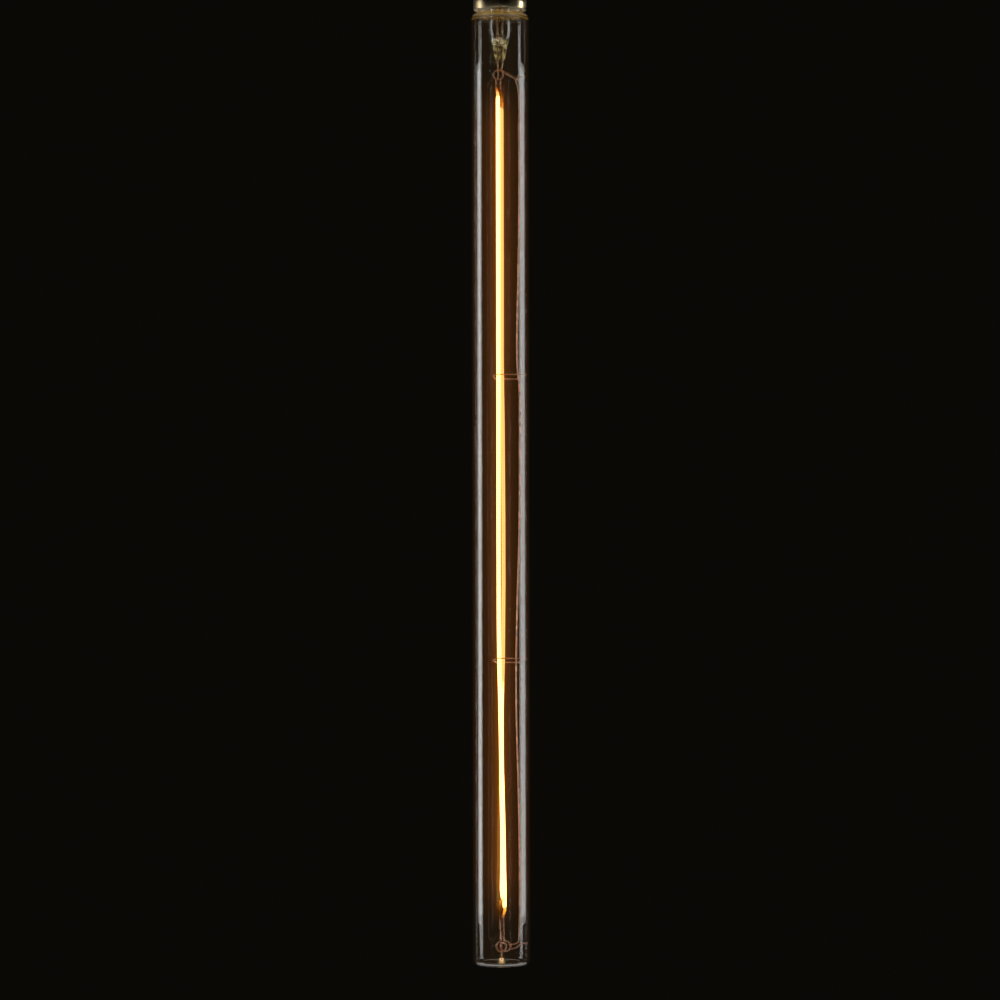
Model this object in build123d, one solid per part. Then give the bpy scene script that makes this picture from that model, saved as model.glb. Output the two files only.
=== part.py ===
from build123d import *
import math
import os

# Tubular lamp with a screw cap, in millimetres. It hangs by its cap: the tip of the centre
# contact is the origin, +Z is up, and the flat glass end is at the bottom.

# Whole lamp
overall_length = 500.0
tube_diameter = 28.0
glass_wall = 1.0
end_corner_radius = 2.6
end_dish = 0.5

# Glass neck and its flat shoulder
neck_length = 8.2
shoulder_gap = 1.6

# Screw cap of the standard 27 mm size
cap_height = 28.6
cap_wall = 0.35
barrel_diameter = 26.3
cap_shoulder_width = 3.4
lip_drop = 6.9

# Insulator, centre contact and its solder
solder_height = 0.9
solder_diameter = 4.4
solder_crown_diameter = 2.0
contact_diameter = 9.6
contact_thickness = 1.0
contact_edge_chamfer = 0.4
insulator_top_diameter = 11.4
insulator_waist_diameter = 14.4
insulator_waist_drop = 4.7
insulator_foot = 1.0
feed_bore = 1.6

# Cement between the neck and the barrel
cement_thickness = 1.6
cement_set_back = 0.6
cement_length = 4.6

# Glass stem: flare, tube and press, with the exhaust tube inside
flare_rim_height = 0.9
flare_rise = 1.4
stem_diameter = 11.4
stem_wall = 0.9
stem_length = 8.8
stem_seat_depth = 1.8
stem_round_length = 6.5
press_length = 7.6
press_root_width = 8.2
press_root_thickness = 5.0
press_top_width = 7.2
press_top_thickness = 3.4
press_foot_width = 5.0
press_foot_thickness = 2.2
press_corner = 0.25
press_turn = 46.0
exhaust_diameter = 2.7
exhaust_wall = 0.5
exhaust_tip_chamfer = 0.6
exhaust_tip_clearance = 0.6
port_depth = 1.6
port_diameter = 1.1

# Wires
lead_diameter = 0.7
lead_spacing = 3.6
lead_bend_drop = 1.6
lead_weld_drop = 1.2
lead_overrun = 0.4
wire_flats = 8
frame_wire_diameter = 0.7
anchor_wire_diameter = 0.55

# Light strips, one in front of the other
strip_width = 2.0
strip_thickness = 0.9
strip_chamfer = 0.25
front_strip_x = -1.1
front_strip_foot_x = -0.3
back_strip_x = 0.95
back_strip_foot_x = 1.8
tab_thickness = 0.3
tab_root_width = 1.5
tab_end_width = 0.9
front_tab_upper_length = 4.2
back_tab_upper_length = 9.8
front_tab_lower_length = 9.5
back_tab_lower_length = 5.1
tab_lap = 1.4
front_foot_x = -0.65
back_foot_x = 0.45

# Spring hanger at the top and coil at the bottom
hanger_diameter = 5.5
hanger_leg_spacing = 2.0
hanger_leg_length = 7.2
hanger_x = -0.9
hanger_drop = 7.3
coil_diameter = 6.0
coil_leg_length = 15.0
coil_x = 0.45
coil_rise = 8.8
coil_turns = 2
coil_opening = 60.0
coil_gap = 0.8
ring_step = 30.0
pin_socket_diameter = 2.2
pin_socket_height = 2.2
pin_depth = 1.6

# Return wire beside the strips, and the spacer at its foot
return_wire_depth = 2.1
return_top_drop = 7.9
return_end_rise = 4.2
return_weld_rise = 1.0
spacer_drop = 1.0
spacer_rise = 2.8

# Wire eyes that steady the strips
anchor_rise = 2.1
anchor_reach = 3.5

# Driver board and what is soldered on it
board_width = 15.0
board_thickness = 1.0
board_headroom = 1.15
board_foot_gap = 2.5
lead_lap = 3.0
block_chamfer = 0.3
rectifier_width = 4.7
rectifier_thickness = 2.4
chip_width = 4.9
chip_thickness = 1.5
part_edge_gap = 0.5
capacitor_length = 8.0
fuse_length = 5.0
feed_wire_lap = 2.6
shell_wire_gap = 0.8

# Bends, each as a share of a run's width and of its height. The wires' widths are shares of
# the tube's bore, and the strips' are shares of the distance that a strip moves aside.
front_strip_bends = ((0, 0), (0, 0.577), (1, 0.854), (1, 1))
back_strip_bends = ((0, 0), (0, 0.237), (0.647, 0.552), (-0.06, 0.83), (1, 0.943), (1, 1))
lead_bends = ((0.046, 0.36), (0.154, 0.56), (0.377, 0.773), (0.654, 1))
return_bends = (
    (0.685, 0),
    (0.577, 0.004),
    (0.723, 0.014),
    (0.754, 0.054),
    (0.731, 0.143),
    (0.677, 0.237),
    (0.6, 0.333),
    (0.762, 0.366),
    (0.738, 0.434),
    (0.708, 0.538),
    (0.608, 0.62),
    (0.554, 0.723),
    (0.669, 0.838),
    (0.7, 0.913),
    (0.692, 1),
)
return_turn_share = 0.615
upper_anchor_share = 0.349
lower_anchor_share = 0.678
anchor_tail_share = 0.685
spacer_bends = ((0, 0), (0.378, 0), (0.598, 1), (1, 1))

# Parts on the driver board, as shares of its height
capacitor_share = 0.67
fuse_share = 0.19

# Worked out from the sizes above
tube_radius = tube_diameter / 2
tube_bore = tube_radius - glass_wall
tube_foot = -overall_length
barrel_radius = barrel_diameter / 2
barrel_bore = barrel_radius - cap_wall
lip_radius = barrel_radius - cap_shoulder_width
neck_radius = barrel_bore - cement_thickness
neck_bore = neck_radius - glass_wall
shoulder_top = -(cap_height + shoulder_gap)
neck_top = shoulder_top + neck_length
rim_top = neck_top + flare_rim_height
cap_rim = -cap_height
contact_top = -solder_height
insulator_top = contact_top - contact_thickness
insulator_low = -lip_drop - cap_wall - insulator_foot
stem_round = shoulder_top - stem_length
press_shoulder = stem_round - stem_round_length
press_foot = press_shoulder - press_length
stem_radius = stem_diameter / 2
stem_bore = stem_radius - stem_wall
stem_seat = stem_round - stem_seat_depth
lead_radius = lead_diameter / 2
lead_hole = lead_radius / math.cos(math.pi / wire_flats)
frame_wire_radius = frame_wire_diameter / 2
anchor_wire_radius = anchor_wire_diameter / 2
socket_top = tube_foot + glass_wall + pin_socket_height
board_top = insulator_low - board_headroom
board_foot = rim_top + board_foot_gap
board_height = board_top - board_foot
block_height = board_height / 2 - part_edge_gap
board_back = lead_radius + board_thickness
lead_top = board_foot + lead_lap
hanger_z = press_foot - hanger_drop
hanger_round = (hanger_diameter - frame_wire_diameter) / 2
hanger_leg = hanger_leg_spacing / 2
hanger_foot = hanger_z - hanger_leg_length
hanger_tab_end = hanger_foot + tab_lap
coil_z = tube_foot + coil_rise
coil_round = (coil_diameter - frame_wire_diameter) / 2
coil_side = coil_x + coil_round + frame_wire_radius
coil_pitch = frame_wire_diameter + coil_gap
coil_top = coil_z + coil_leg_length
foot_tab_end = coil_top - tab_lap
strip_depth = frame_wire_radius + tab_thickness / 2
front_strip_top = hanger_tab_end - front_tab_upper_length
back_strip_top = hanger_tab_end - back_tab_upper_length
front_strip_foot = foot_tab_end + front_tab_lower_length
back_strip_foot = foot_tab_end + back_tab_lower_length
return_top = press_foot - return_top_drop
return_end = coil_z + return_end_rise
return_run = return_end - return_top

os.makedirs("parts", exist_ok=True)


def write(shape, node):
    export_step(shape, "parts/" + node + ".step")


# A chain of straight lines, given by its corners in radius and height
def straight(*corners):
    return Polyline(*corners)


# A body of revolution about the lamp's axis, from its outline in radius and height
def turned(outline):
    return revolve(Plane.XZ * make_face(outline), Axis.Z)


# A bar of one section along straight, mitred runs
def bar(points, section):
    path = Polyline(*points)
    start = Plane(origin=path @ 0, x_dir=(0, 1, 0), z_dir=path % 0)
    return sweep(start * section, path=path, transition=Transition.RIGHT)


# A wire, drawn with a few flats that keep its many bends light. They touch the wire's true radius.
def wire(points, radius):
    flats = RegularPolygon(radius, wire_flats, major_radius=False, rotation=180 / wire_flats)
    return bar(points, flats)


# A point given along the press, aside from it and in height, turned to where the press lies
def by_press(along, aside, height):
    turn = math.radians(press_turn)
    x = along * math.cos(turn) - aside * math.sin(turn)
    y = along * math.sin(turn) + aside * math.cos(turn)
    return (x, y, height)


# Places across and down a run, worked out from its two ends and its bends
def places_along(start, end, bends):
    (x, z), (end_x, end_z) = start, end
    return [(x + across * (end_x - x), z + down * (end_z - z)) for across, down in bends]


# Glass tube: one blown piece with a flat foot, a flat shoulder and a neck
def glass_tube():
    corner = tube_radius - end_corner_radius
    inner_foot = tube_foot + glass_wall
    inner_shoulder = shoulder_top - glass_wall
    socket_radius = pin_socket_diameter / 2
    outline = straight(
        (0, tube_foot + end_dish),
        (0, socket_top),
        (socket_radius, socket_top),
        (socket_radius, inner_foot + end_dish),
        (corner, inner_foot),
        (tube_bore, tube_foot + end_corner_radius),
        (tube_bore, shoulder_top - end_corner_radius),
        (corner, inner_shoulder),
        (neck_bore, inner_shoulder),
        (neck_bore, neck_top),
        (neck_radius, neck_top),
        (neck_radius, shoulder_top),
        (corner, shoulder_top),
    )
    outline += RadiusArc(
        (corner, shoulder_top), (tube_radius, shoulder_top - end_corner_radius), end_corner_radius
    )
    outline += straight(
        (tube_radius, shoulder_top - end_corner_radius), (tube_radius, tube_foot + end_corner_radius)
    )
    outline += RadiusArc(
        (tube_radius, tube_foot + end_corner_radius), (corner, tube_foot), end_corner_radius
    )
    outline += straight((corner, tube_foot), (0, tube_foot + end_dish))
    pin_hole = Pos(0, 0, socket_top - pin_depth / 2) * Cylinder(frame_wire_radius, pin_depth)
    return turned(outline) - pin_hole


# Solid form of the cap's shell. Inset 0 gives its outside and the wall's thickness its inside.
def shell_form(inset):
    top = -lip_drop - inset
    barrel = barrel_radius - inset
    floor = cap_rim - inset
    outline = straight(
        (0, floor),
        (0, top),
        (lip_radius, top),
        (barrel, top - (barrel - lip_radius)),
        (barrel, floor),
        (0, floor),
    )
    return turned(outline)


# Cap shell: drawn from one sheet, with a hole for the insulator. Its barrel has the outer size
# of the screw thread.
def cap_shell():
    lip_hole = Pos(0, 0, -lip_drop) * Cylinder(lip_radius, 4 * cap_wall)
    return shell_form(0) - shell_form(cap_wall) - lip_hole


# Insulator: a glass cone that fills the shell's lip and reaches down below it
def cap_insulator():
    bore = feed_bore / 2
    outline = straight(
        (bore, insulator_low),
        (bore, insulator_top),
        (insulator_top_diameter / 2, insulator_top),
        (insulator_waist_diameter / 2, -insulator_waist_drop),
        (lip_radius, -lip_drop),
        (lip_radius, insulator_low),
        (bore, insulator_low),
    )
    return turned(outline)


# Centre contact: a pressed brass disc with a hole for the feed wire
def centre_contact():
    disc = Pos(0, 0, (contact_top + insulator_top) / 2) * Cylinder(contact_diameter / 2, contact_thickness)
    disc = chamfer(disc.edges().group_by(Axis.Z)[-1], contact_edge_chamfer)
    return disc - Pos(0, 0, contact_top) * Cylinder(lead_hole, 4 * contact_thickness)


# Solder: a low mound over the feed wire's end
def contact_solder():
    crown = solder_crown_diameter / 2
    return turned(straight((0, 0), (0, contact_top), (solder_diameter / 2, contact_top), (crown, 0), (0, 0)))


# Cement: a ring between the glass neck and the cap's barrel
def cap_cement():
    foot = cap_rim + cement_set_back
    ring = Cylinder(barrel_bore, cement_length) - Cylinder(neck_radius, cement_length)
    return Pos(0, 0, foot + cement_length / 2) * ring


# Stem: a flared glass tube whose foot is pressed flat round the two leads
def glass_stem():
    eased = stem_radius * math.sqrt(0.5)
    outline = straight(
        (0, stem_seat),
        (stem_bore, stem_seat),
        (stem_bore, rim_top - flare_rise),
        (stem_bore + flare_rise, rim_top),
        (neck_radius, rim_top),
        (neck_radius, neck_top),
        (stem_radius + flare_rise, neck_top),
        (stem_radius, neck_top - flare_rise),
        (stem_radius, stem_round),
        (eased, stem_round - eased),
        (0, stem_round - stem_radius),
        (0, stem_seat),
    )
    top = press_section(press_root_width, press_root_thickness, stem_seat - stem_wall)
    middle = press_section(press_top_width, press_top_thickness, press_shoulder)
    foot = press_section(press_foot_width, press_foot_thickness, press_foot)
    stem = turned(outline) + loft([top, middle, foot], ruled=True)
    for side in (-1, 1):
        x, y, z = by_press(side * lead_spacing / 2, 0, press_foot)
        stem -= Pos(x, y, z) * Cylinder(lead_hole, 2 * (stem_round - press_foot))
    port = exhaust_diameter / 2 - exhaust_wall
    stem -= Pos(0, 0, stem_seat) * Cylinder(port, 2 * port_depth)
    side_port = Rot(0, 0, press_turn) * Pos(0, -stem_bore, stem_seat - port_depth + port_diameter / 2)
    return stem - side_port * Rot(90, 0, 0) * Cylinder(port_diameter / 2, 2 * stem_bore)


def press_section(width, thickness, height):
    section = Rectangle(width, thickness)
    section = chamfer(section.vertices(), thickness * press_corner)
    return Pos(0, 0, height) * Rot(0, 0, press_turn) * section


# Exhaust tube: stands in the stem's hollow and is melted shut at its upper tip
def exhaust_tube():
    outside = exhaust_diameter / 2
    bore = outside - exhaust_wall
    foot = stem_seat
    tip = board_foot - exhaust_tip_clearance
    closed = tip - outside
    outline = straight(
        (bore, foot),
        (outside, foot),
        (outside, tip - exhaust_tip_chamfer),
        (outside - exhaust_tip_chamfer, tip),
        (0, tip),
        (0, closed),
        (bore, closed),
        (bore, foot),
    )
    return turned(outline)


# Leads: each runs from the board down through the press. One hangs down across the spring
# hanger's ring, which it carries, and the other is welded to the return wire.
def lead_wire_hanger():
    x, y, top = by_press(-lead_spacing / 2, 0, lead_top)
    front = -(frame_wire_radius + lead_radius)
    bend = press_foot - lead_bend_drop
    points = (
        (x, y, top),
        (x, y, bend),
        (hanger_x, front, (bend + hanger_z + hanger_round) / 2),
        (hanger_x, front, hanger_z - hanger_round - lead_overrun),
    )
    return wire(points, lead_radius)


def lead_wire_return():
    x, y, top = by_press(lead_spacing / 2, 0, lead_top)
    front = return_wire_depth - frame_wire_radius - lead_radius
    bend = press_foot - lead_bend_drop
    weld = return_top - lead_weld_drop
    points = [(x, y, top), (x, y, bend)]
    points += [(across, front, z) for across, z in places_along((0, bend), (tube_bore, weld), lead_bends)]
    return wire(points, lead_radius)


# Corners of a ring in the plane of the strips, from one angle to another
def ring_corners(x, z, radius, first, last, drift):
    count = round((last - first) / ring_step)
    corners = []
    for number in range(count + 1):
        share = number / count
        angle = math.radians(first + (last - first) * share)
        corners.append((x + radius * math.cos(angle), drift * (share - 0.5), z + radius * math.sin(angle)))
    return corners


# Spring hanger: one wire bent to an open ring with two legs, which carry the strips' upper tabs
def spring_hanger():
    leg_angle = math.degrees(math.acos(hanger_leg / hanger_round))
    ring = ring_corners(hanger_x, hanger_z, hanger_round, -leg_angle, 180 + leg_angle, 0)
    right = (hanger_x + hanger_leg, 0, hanger_foot)
    left = (hanger_x - hanger_leg, 0, hanger_foot)
    return wire((right, *ring, left), frame_wire_radius)


# Foot coil: the same wire wound twice, with two legs up to the strips' lower tabs
def foot_coil():
    first = 90 + coil_opening / 2
    last = 90 - coil_opening / 2 + 360 * coil_turns
    ring = ring_corners(coil_x, coil_z, coil_round, first, last, coil_pitch * (last - first) / 360)
    kink = (coil_top + coil_z) / 2
    front = ((front_foot_x, 0, coil_top), (front_foot_x, 0, kink))
    back = ((back_foot_x, 0, kink), (back_foot_x, 0, coil_top))
    return wire((*front, *ring, *back), frame_wire_radius)


# Foot pin: sealed in the glass foot, it stands between the coil's turns up to its top
def foot_pin():
    head = coil_z + coil_round - frame_wire_diameter
    foot = socket_top - pin_depth
    return Pos(0, 0, (head + foot) / 2) * Cylinder(frame_wire_radius, head - foot)


# Return wire: stands off the strips and springs against the glass at its upper end
def return_wire():
    depth = return_wire_depth
    wall = math.sqrt(tube_bore**2 - (depth + frame_wire_radius) ** 2)
    coil_depth = coil_pitch * 0.75
    weld = coil_z + return_weld_rise
    points = [(wall, depth, return_top)]
    points += [(x, depth, z) for x, z in places_along((0, return_top), (tube_bore, return_end), return_bends)]
    points += [(return_turn_share * tube_bore, coil_depth, weld), (coil_side, coil_depth, weld)]
    return wire(points, frame_wire_radius)


# Foot spacer: a short wire from the coil to the glass, which keeps the foot centred
def foot_spacer():
    depth = -coil_pitch / 4
    wall = math.sqrt(tube_bore**2 - (abs(depth) + frame_wire_radius) ** 2)
    low = coil_z - spacer_drop
    places = places_along((coil_side, low), (wall, low + spacer_rise), spacer_bends)
    return wire([(x, depth, z) for x, z in places], frame_wire_radius)


# Strip eye: a thin wire from the glass round both strips and back to the return wire
def strip_eye(share):
    height = return_top + share * return_run
    limb = return_wire_depth - frame_wire_radius - anchor_wire_radius
    wall = math.sqrt(tube_bore**2 - (limb + anchor_wire_radius) ** 2)
    high = height + anchor_rise / 2
    low = height - anchor_rise / 2
    turn = anchor_reach - limb
    points = (
        (wall, -limb, high),
        (-turn, -limb, high),
        (-anchor_reach, -limb / 2, height + anchor_rise / 4),
        (-anchor_reach, limb / 2, height - anchor_rise / 4),
        (-turn, limb, low),
        (anchor_tail_share * tube_bore, limb, low),
    )
    return wire(points, anchor_wire_radius)


# Light strip: a thin bar in its coat, which hangs with slight bends of its own
def light_strip(start, end, bends, depth):
    points = [(x, depth, z) for x, z in places_along(start, end, bends)]
    section = Rectangle(strip_thickness, strip_width)
    return bar(points, chamfer(section.vertices(), strip_chamfer))


# Tab: a tapered plate from the strip's end to the wire that it is welded on
def strip_tab(root, end, depth):
    (x, z), (end_x, end_z) = root, end
    wide = tab_root_width / 2
    narrow = tab_end_width / 2
    outline = Polyline(
        (x - wide, z), (x + wide, z), (end_x + narrow, end_z), (end_x - narrow, end_z), close=True
    )
    plate = extrude(Plane.XZ * make_face(outline), tab_thickness / 2, both=True)
    return Pos(0, depth, 0) * plate


# A box or cylinder on the board, given along the press, aside from it and in height
def on_board(along, aside, height):
    return Rot(0, 0, press_turn) * Pos(along, aside, height)


def driver_board():
    board = Box(board_width, board_thickness, board_height)
    return on_board(0, lead_radius + board_thickness / 2, (board_top + board_foot) / 2) * board


# A flat-packed part on the board's front, with its upper edges eased as moulded
def board_block(width, thickness, side):
    along = side * (board_width / 2 - part_edge_gap - width / 2)
    middle = board_top - part_edge_gap - block_height / 2
    block = Box(width, thickness, block_height)
    block = chamfer(block.faces().sort_by(Axis.Y)[0].edges(), block_chamfer)
    return on_board(along, lead_radius - thickness / 2, middle) * block


def smoothing_capacitor():
    radius = board_height * capacitor_share / 2
    can = Rot(0, 90, 0) * Cylinder(radius, capacitor_length)
    return on_board(0, board_back + radius, board_foot + radius) * can


def fuse_resistor():
    radius = board_height * fuse_share / 2
    body = Rot(0, 90, 0) * Cylinder(radius, fuse_length)
    return on_board(0, board_back + radius, board_top - part_edge_gap - radius) * body


# Feed wire: from the centre contact straight down to the board's face
def feed_wire():
    return wire(((0, 0, contact_top), (0, 0, board_top - feed_wire_lap)), lead_radius)


# Shell wire: from the board's face over the flare's rim to the inside of the barrel
def shell_wire():
    start = board_top - part_edge_gap - block_height - lead_diameter
    inside = board_width / 2 - part_edge_gap - lead_diameter
    wall = barrel_bore - lead_radius
    foot = cap_rim + cement_set_back + cement_length + lead_radius
    over_rim = rim_top + shell_wire_gap + lead_radius
    points = (
        by_press(-inside, 0, start),
        by_press(-inside, 0, over_rim + shell_wire_gap + lead_diameter),
        by_press(-neck_radius, 0, over_rim),
        by_press(-wall, 0, neck_top),
        by_press(-wall, 0, foot),
    )
    return wire(points, lead_radius)


write(glass_tube(), "glass_tube")
write(glass_stem(), "glass_stem")
write(exhaust_tube(), "exhaust_tube")
write(lead_wire_hanger(), "lead_wire_hanger")
write(lead_wire_return(), "lead_wire_return")
write(spring_hanger(), "spring_hanger")
write(return_wire(), "return_wire")
write(strip_eye(upper_anchor_share), "strip_eye_upper")
write(strip_eye(lower_anchor_share), "strip_eye_lower")
write(foot_coil(), "foot_coil")
write(foot_pin(), "foot_pin")
write(foot_spacer(), "foot_spacer")

front_top = (front_strip_x, front_strip_top)
front_foot = (front_strip_foot_x, front_strip_foot)
back_top = (back_strip_x, back_strip_top)
back_foot = (back_strip_foot_x, back_strip_foot)
write(light_strip(front_top, front_foot, front_strip_bends, -strip_depth), "light_strip_front")
write(light_strip(back_top, back_foot, back_strip_bends, strip_depth), "light_strip_back")
write(strip_tab(front_top, (hanger_x - hanger_leg, hanger_tab_end), -strip_depth), "tab_front_upper")
write(strip_tab(back_top, (hanger_x + hanger_leg, hanger_tab_end), strip_depth), "tab_back_upper")
write(strip_tab(front_foot, (front_foot_x, foot_tab_end), -strip_depth), "tab_front_lower")
write(strip_tab(back_foot, (back_foot_x, foot_tab_end), strip_depth), "tab_back_lower")

write(cap_shell(), "cap_shell")
write(cap_insulator(), "cap_insulator")
write(centre_contact(), "centre_contact")
write(contact_solder(), "contact_solder")
write(cap_cement(), "cap_cement")
write(driver_board(), "driver_board")
write(board_block(rectifier_width, rectifier_thickness, -1), "bridge_rectifier")
write(board_block(chip_width, chip_thickness, 1), "driver_chip")
write(smoothing_capacitor(), "smoothing_capacitor")
write(fuse_resistor(), "fuse_resistor")
write(feed_wire(), "feed_wire")
write(shell_wire(), "shell_wire")
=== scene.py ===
import bpy
import math
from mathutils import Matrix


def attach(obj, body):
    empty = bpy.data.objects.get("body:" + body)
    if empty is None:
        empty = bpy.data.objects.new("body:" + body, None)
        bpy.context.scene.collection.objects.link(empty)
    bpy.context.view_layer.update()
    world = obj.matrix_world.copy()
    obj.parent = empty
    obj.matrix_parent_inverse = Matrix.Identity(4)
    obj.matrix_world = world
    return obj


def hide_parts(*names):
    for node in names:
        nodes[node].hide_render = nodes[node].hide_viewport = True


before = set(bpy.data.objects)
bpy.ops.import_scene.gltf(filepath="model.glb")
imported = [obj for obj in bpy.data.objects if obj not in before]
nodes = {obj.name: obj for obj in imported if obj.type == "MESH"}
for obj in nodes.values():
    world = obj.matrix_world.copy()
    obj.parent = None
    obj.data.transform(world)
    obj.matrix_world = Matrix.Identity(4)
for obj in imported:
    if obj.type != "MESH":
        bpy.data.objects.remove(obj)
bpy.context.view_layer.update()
mm = 0.001  # sizes below are in millimetres, Blender's are in metres
print("frame loaded:", len(nodes), "solids")


# Helpers for edit mode

def deselectAll():
    if bpy.context.object and bpy.context.object.mode != "OBJECT":
        bpy.ops.object.mode_set(mode="OBJECT")
    bpy.ops.object.select_all(action="DESELECT")


def selectOnly(form):
    deselectAll()
    form.select_set(True)
    bpy.context.view_layer.objects.active = form


def smoothUnder(form, degrees):
    selectOnly(form)
    bpy.ops.object.shade_smooth_by_angle(angle=math.radians(degrees))


# Starts with a filled circle and pulls it from station to station: x, y, z, half width, half depth
def pullForm(name, sides, stations):
    deselectAll()
    x, y, z, wide, deep = stations[0]
    bpy.ops.mesh.primitive_circle_add(
        vertices=sides, radius=mm, fill_type="NGON", location=(x * mm, y * mm, z * mm))
    form = bpy.context.object
    form.name = form.data.name = name
    bpy.ops.object.transform_apply(location=True, rotation=True, scale=True)
    bpy.ops.object.mode_set(mode="EDIT")
    bpy.ops.mesh.select_mode(type="FACE")
    bpy.ops.mesh.select_all(action="SELECT")
    bpy.ops.transform.resize(value=(wide, deep, 1), center_override=(x * mm, y * mm, z * mm))
    for before, after in zip(stations, stations[1:]):
        step = [(b - a) * mm for a, b in zip(before[:3], after[:3])]
        centre = [c * mm for c in after[:3]]
        bpy.ops.mesh.extrude_region_move(TRANSFORM_OT_translate={"value": step})
        bpy.ops.transform.resize(
            value=(after[3] / before[3], after[4] / before[4], 1), center_override=centre)
    bpy.ops.mesh.select_all(action="SELECT")
    bpy.ops.mesh.normals_make_consistent(inside=False)
    bpy.ops.object.mode_set(mode="OBJECT")
    return form


def turnedStations(outline):
    return [(0, 0, z, r, r) for r, z in outline]


# Rounds the ring of edges at one radius and height
def roundRing(form, radius, height, width, segments):
    selectOnly(form)
    bpy.ops.object.mode_set(mode="EDIT")
    bpy.ops.mesh.select_mode(type="EDGE")
    bpy.ops.mesh.select_all(action="DESELECT")
    bpy.ops.object.mode_set(mode="OBJECT")
    points = form.data.vertices

    def onRing(index):
        place = points[index].co / mm
        return abs(place.z - height) < 0.02 and abs(math.hypot(place.x, place.y) - radius) < 0.02

    for edge in form.data.edges:
        edge.select = onRing(edge.vertices[0]) and onRing(edge.vertices[1])
    bpy.ops.object.mode_set(mode="EDIT")
    bpy.ops.mesh.bevel(offset=width * mm, segments=segments, profile=0.5, affect="EDGES")
    bpy.ops.object.mode_set(mode="OBJECT")


# A wire drawn as a smooth line and turned into a mesh
def bendWire(wire):
    deselectAll()
    bpy.ops.curve.primitive_nurbs_path_add(location=(0, 0, 0))
    piece = bpy.context.object
    piece.name = piece.data.name = wire["name"]
    line = piece.data
    line.splines.clear()
    spline = line.splines.new("NURBS")
    spline.points.add(len(wire["points"]) - 1)
    for point, place in zip(spline.points, wire["points"]):
        point.co = (*[c * mm for c in place], 1)
    spline.order_u = 3
    spline.use_endpoint_u = True
    spline.resolution_u = wire["smoothness"]
    line.bevel_depth = wire["thickness"] / 2 * mm
    line.bevel_resolution = 4
    line.use_fill_caps = True
    bpy.ops.object.convert(target="MESH")
    piece = bpy.context.object
    smoothUnder(piece, 50)
    return piece


def finishPiece(piece, material, node):
    piece.data.materials.clear()
    piece.data.materials.append(material)
    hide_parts(node)
    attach(piece, "root")


# Shader groups: each puts out only what changes over the surface

def newGroup(name, inputs, outputs):
    group = bpy.data.node_groups.new(name, "ShaderNodeTree")
    for label, kind, value in inputs:
        socket = group.interface.new_socket(name=label, in_out="INPUT", socket_type=kind)
        socket.default_value = value
    for label, kind in outputs:
        group.interface.new_socket(name=label, in_out="OUTPUT", socket_type=kind)
    return group, group.nodes.new("NodeGroupInput"), group.nodes.new("NodeGroupOutput")


def addNode(tree, kind, **settings):
    node = tree.nodes.new(kind)
    for label, value in settings.items():
        setattr(node, label, value)
    return node


def mixColour(tree, mask, low, high):
    mix = addNode(tree, "ShaderNodeMix", data_type="RGBA")
    tree.links.new(mask, mix.inputs[0])
    for place, source in ((6, low), (7, high)):
        if hasattr(source, "links"):
            tree.links.new(source, mix.inputs[place])
        else:
            mix.inputs[place].default_value = source
    return mix.outputs[2]


def mapRange(tree, value, low, high, toLow, toHigh):
    ranged = addNode(tree, "ShaderNodeMapRange")
    tree.links.new(value, ranged.inputs[0])
    for place, limit in enumerate((low, high, toLow, toHigh), 1):
        ranged.inputs[place].default_value = limit
    return ranged.outputs[0]


def noise(tree, place, scale, detail, stretch=(1, 1, 1)):
    mapping = addNode(tree, "ShaderNodeMapping")
    mapping.inputs["Scale"].default_value = stretch
    tree.links.new(place, mapping.inputs["Vector"])
    texture = addNode(tree, "ShaderNodeTexNoise")
    texture.inputs["Detail"].default_value = detail
    tree.links.new(mapping.outputs[0], texture.inputs["Vector"])
    if hasattr(scale, "links"):
        tree.links.new(scale, texture.inputs["Scale"])
    else:
        texture.inputs["Scale"].default_value = scale
    return texture.outputs["Fac"]


def calculate(tree, operation, *values):
    node = addNode(tree, "ShaderNodeMath", operation=operation)
    for place, value in enumerate(values):
        if hasattr(value, "links"):
            tree.links.new(value, node.inputs[place])
        else:
            node.inputs[place].default_value = value
    return node.outputs[0]


def splitPlace(tree, place):
    split = addNode(tree, "ShaderNodeSeparateXYZ")
    tree.links.new(place, split.inputs[0])
    return split


colour = "NodeSocketColor"
number = "NodeSocketFloat"
black = (0, 0, 0, 1)

# Drawn metal: long faint marks along the lamp, with duller patches
drawnMetal, groupIn, groupOut = newGroup(
    "drawnMetal",
    (("Bright", colour, (0.8, 0.5, 0.35, 1)), ("Dull", colour, (0.5, 0.3, 0.2, 1)), ("Scale", number, 300)),
    (("Colour", colour), ("Roughness", number), ("Height", number)))
place = drawnMetal.nodes.new("ShaderNodeTexCoord").outputs["Object"]
patches = noise(drawnMetal, place, groupIn.outputs["Scale"], 4)
marks = noise(drawnMetal, place, 2400, 3, (1, 1, 0.06))
tone = mixColour(
    drawnMetal, mapRange(drawnMetal, patches, 0.4, 0.68, 0, 1), groupIn.outputs["Bright"],
    groupIn.outputs["Dull"])
drawnMetal.links.new(tone, groupOut.inputs["Colour"])
drawnMetal.links.new(mapRange(drawnMetal, patches, 0.35, 0.7, 0.16, 0.4), groupOut.inputs["Roughness"])
drawnMetal.links.new(marks, groupOut.inputs["Height"])

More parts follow.
